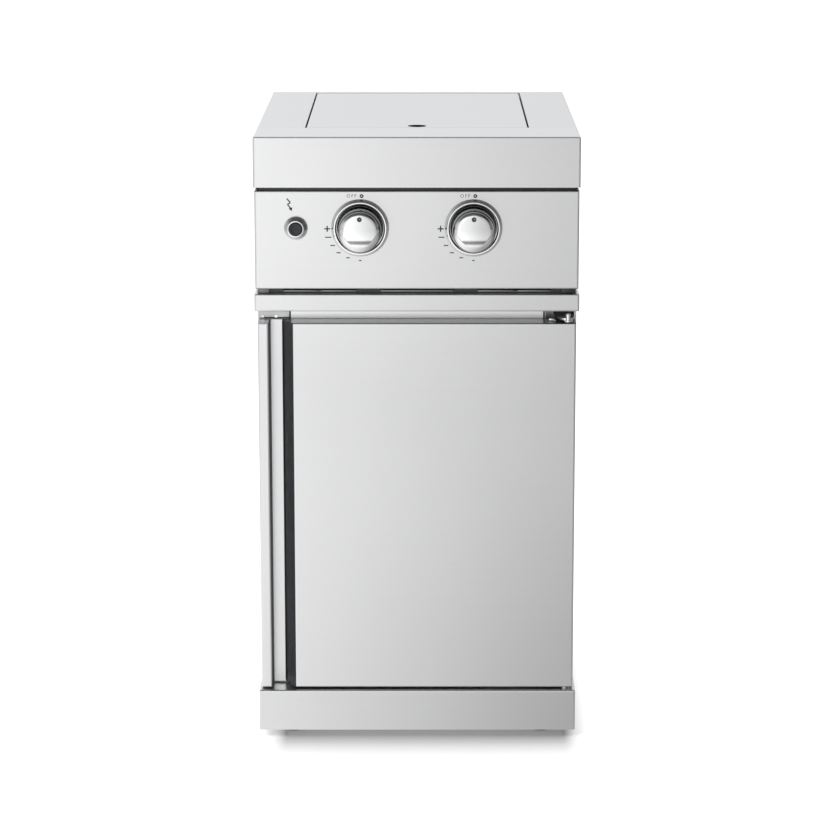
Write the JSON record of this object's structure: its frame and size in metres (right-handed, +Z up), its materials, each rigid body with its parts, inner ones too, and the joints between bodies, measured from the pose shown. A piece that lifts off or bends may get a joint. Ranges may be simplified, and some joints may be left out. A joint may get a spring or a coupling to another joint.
{
  "type": "outdoor kitchen island",
  "caption": "Stainless steel outdoor kitchen module: cabinet with one door, gas controls with large knobs, and burners under a flush lid in the worktop.",
  "frame": {"origin": "on the floor under the middle of the whole module, knobs included", "axes": "+X to the right as seen from the front, +Y to the back, +Z up; the door and the knobs face -Y"},
  "size_m": [0.478, 0.65, 0.914],
  "materials": {
    "brushed_stainless": "brushed stainless steel",
    "polished_chrome": "polished chrome plating",
    "plated_steel": "zinc plated steel",
    "cast_iron": "matt black seasoned cast iron",
    "brass": "machined brass",
    "ceramic": "white glazed ceramic",
    "black_plastic": "satin black plastic",
    "rubber": "black rubber"
  },
  "bodies": {
    "carcass": {"plinth": "brushed_stainless", "side_panel_left": "brushed_stainless", "side_panel_right": "brushed_stainless", "back_panel": "brushed_stainless", "cabinet_floor": "brushed_stainless", "stile_left": "brushed_stainless", "stile_right": "brushed_stainless", "header": "brushed_stainless", "corner_plate_left": "brushed_stainless", "deck_shield": "brushed_stainless", "front_rail": "brushed_stainless", "vent_strip": "brushed_stainless", "control_panel": "brushed_stainless", "worktop_front": "brushed_stainless", "worktop_left": "brushed_stainless", "worktop_right": "brushed_stainless", "worktop_back": "brushed_stainless", "burner_pan": "brushed_stainless", "lid_pin_left": "plated_steel", "lid_pin_right": "plated_steel", "grate_front": "cast_iron", "grate_rear": "cast_iron", "burner_front": "cast_iron", "burner_rear": "cast_iron", "burner_cap_front": "cast_iron", "burner_cap_rear": "cast_iron", "venturi_front": "plated_steel", "venturi_rear": "plated_steel", "electrode_front": "ceramic", "electrode_rear": "ceramic", "ignition_lead_front": "rubber", "ignition_lead_rear": "rubber", "manifold_pipe": "plated_steel", "inlet_elbow": "brass", "gas_valve_left": "brass", "gas_valve_right": "brass", "bezel_left": "polished_chrome", "bezel_right": "polished_chrome", "igniter_bezel": "polished_chrome", "igniter_module": "black_plastic", "magnet_catch": "black_plastic", "hinge_bracket_top": "plated_steel", "hinge_pin_bottom": "polished_chrome"},
    "door": {"door_skin": "brushed_stainless", "door_pull": "brushed_stainless", "door_inner_panel": "brushed_stainless", "strike_plate": "plated_steel", "hinge_pin_top": "polished_chrome"},
    "lid": {"lid": "brushed_stainless"},
    "knob_left_push": {"push_collar_left": "plated_steel"},
    "knob_left": {"valve_stem_left": "brass", "knob_left": "polished_chrome"},
    "knob_right_push": {"push_collar_right": "plated_steel"},
    "knob_right": {"valve_stem_right": "brass", "knob_right": "polished_chrome"},
    "igniter_button": {"igniter_button": "black_plastic"},
    "foot_front_left": {"foot_front_left": "rubber"},
    "foot_front_right": {"foot_front_right": "rubber"},
    "foot_rear_left": {"foot_rear_left": "rubber"},
    "foot_rear_right": {"foot_rear_right": "rubber"}
  },
  "joints": [
    {"name": "door_hinge", "type": "hinge", "parent": "carcass", "child": "door", "pos_m": [0.2235, -0.257, 0.35], "axis": [0, 0, 1], "range_deg": [0, 110]},
    {"name": "lid_hinge", "type": "hinge", "parent": "carcass", "child": "lid", "pos_m": [0, 0.2965, 0.908], "axis": [-1, 0, 0], "range_deg": [0, 100]},
    {"name": "knob_left_push", "type": "slide", "parent": "carcass", "child": "knob_left_push", "axis": [0, 1, 0], "range_m": [0, 0.004], "stiffness_N_per_m": 1500, "springref_m": -0.001},
    {"name": "knob_left_turn", "type": "hinge", "parent": "knob_left_push", "child": "knob_left", "pos_m": [-0.083, -0.3, 0.7805], "axis": [0, -1, 0], "range_deg": [0, 180]},
    {"name": "knob_right_push", "type": "slide", "parent": "carcass", "child": "knob_right_push", "axis": [0, 1, 0], "range_m": [0, 0.004], "stiffness_N_per_m": 1500, "springref_m": -0.001},
    {"name": "knob_right_turn", "type": "hinge", "parent": "knob_right_push", "child": "knob_right", "pos_m": [0.083, -0.3, 0.7805], "axis": [0, -1, 0], "range_deg": [0, 180]},
    {"name": "igniter_push", "type": "slide", "parent": "carcass", "child": "igniter_button", "axis": [0, 1, 0], "range_m": [0, 0.005], "stiffness_N_per_m": 800, "springref_m": -0.001},
    {"name": "foot_front_left_level", "type": "slide", "parent": "carcass", "child": "foot_front_left", "axis": [0, 0, -1], "range_m": [0, 0.015]},
    {"name": "foot_front_right_level", "type": "slide", "parent": "carcass", "child": "foot_front_right", "axis": [0, 0, -1], "range_m": [0, 0.015]},
    {"name": "foot_rear_left_level", "type": "slide", "parent": "carcass", "child": "foot_rear_left", "axis": [0, 0, -1], "range_m": [0, 0.015]},
    {"name": "foot_rear_right_level", "type": "slide", "parent": "carcass", "child": "foot_rear_right", "axis": [0, 0, -1], "range_m": [0, 0.015]}
  ]
}
